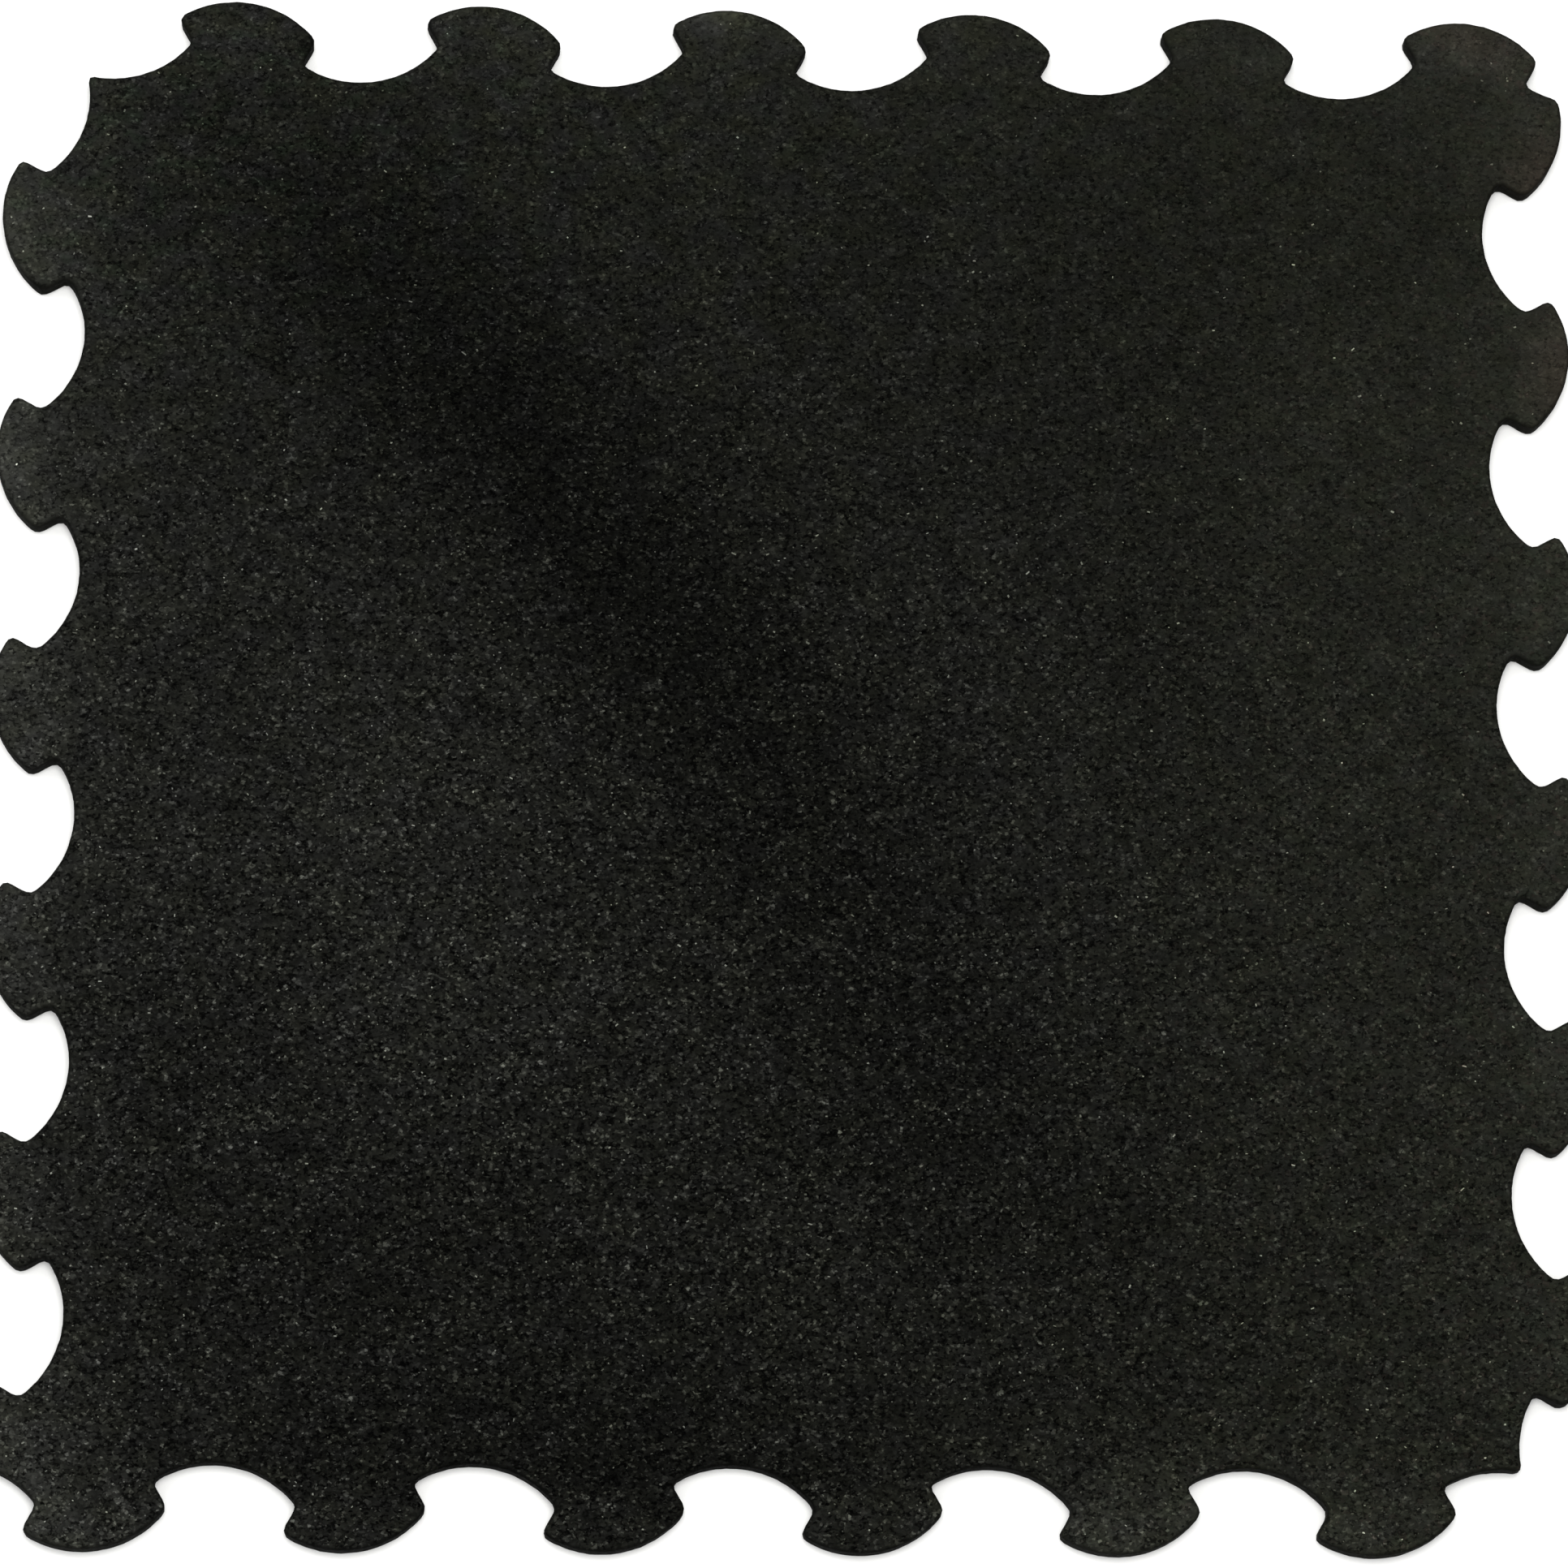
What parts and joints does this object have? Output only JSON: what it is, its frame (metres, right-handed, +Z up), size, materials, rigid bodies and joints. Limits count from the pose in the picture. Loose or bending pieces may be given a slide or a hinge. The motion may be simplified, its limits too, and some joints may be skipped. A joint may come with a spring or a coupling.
{
  "type": "rubber stable mat",
  "caption": "square black crumb-rubber floor mat with round-headed jigsaw tabs and notches on all edges, laid edge to edge with others as soft flooring for a stable",
  "frame": {"origin": "middle of the underside of the mat", "axes": "+X to the right and +Y to the far side along the laid square's edges, with the far edge the picture's upper one; +Z up, through the thickness"},
  "size_m": [1.0563, 1.0562, 0.015],
  "materials": {
    "rubber": "matt, bound rubber granules"
  },
  "bodies": {
    "root": {"mat": "rubber"}
  },
  "joints": []
}
